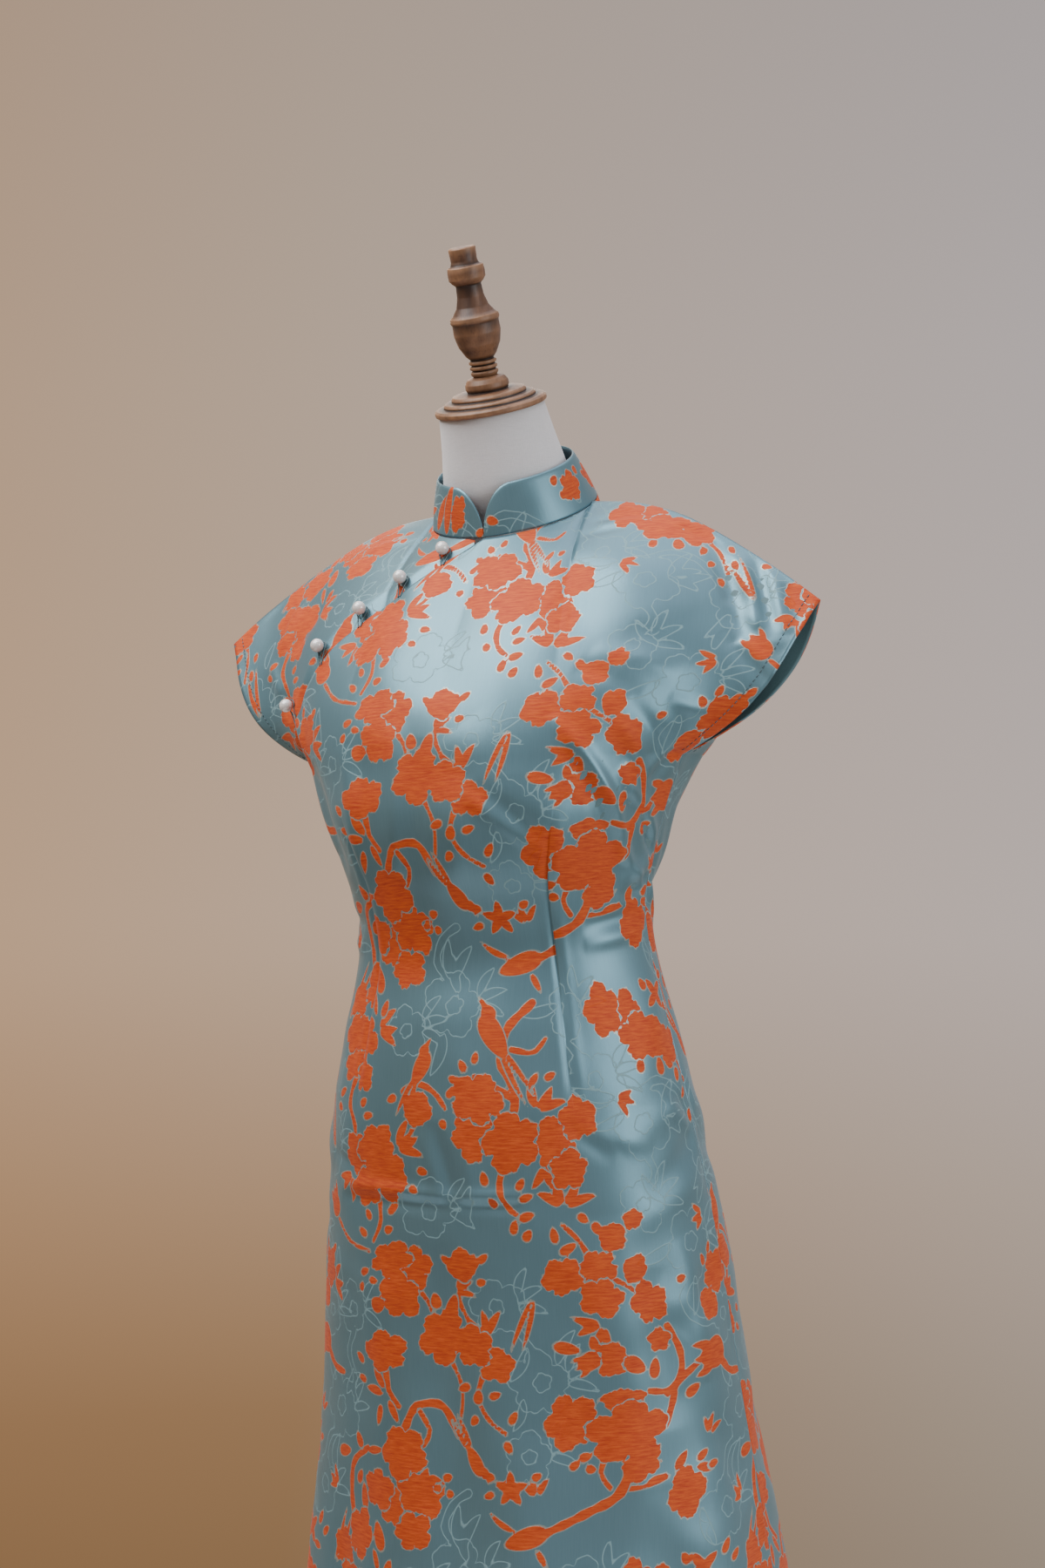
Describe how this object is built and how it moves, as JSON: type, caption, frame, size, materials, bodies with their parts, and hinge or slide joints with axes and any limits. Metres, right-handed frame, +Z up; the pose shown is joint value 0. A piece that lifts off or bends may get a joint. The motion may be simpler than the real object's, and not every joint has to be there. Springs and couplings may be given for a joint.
{
  "type": "cheongsam dress on dress form",
  "caption": "Fitted cap-sleeved dress with a standing collar and slanting chest opening, worn by a limbless dress form on a round wooden stand.",
  "frame": {"origin": "on the floor, under the middle of the whole object", "axes": "+Z up, the front of the dress faces -Y, the wearer's left is +X"},
  "size_m": [0.5226, 0.3446, 1.5735],
  "materials": {
    "satin_teal": "teal satin jacquard with orange flowers, soft sheen",
    "pearl": "pearly white gloss",
    "linen_white": "plain white linen, matte",
    "walnut": "dark walnut stain with rubbed, semi-gloss highlights"
  },
  "bodies": {
    "root": {"front_outer": "satin_teal", "front_small": "satin_teal", "back": "satin_teal", "collar": "satin_teal", "button_1": "pearl", "button_2": "pearl", "button_3": "pearl", "button_4": "pearl", "button_5": "pearl", "form_torso": "linen_white", "neck_cap": "walnut", "finial": "walnut", "pole": "walnut", "base": "walnut"}
  },
  "joints": []
}
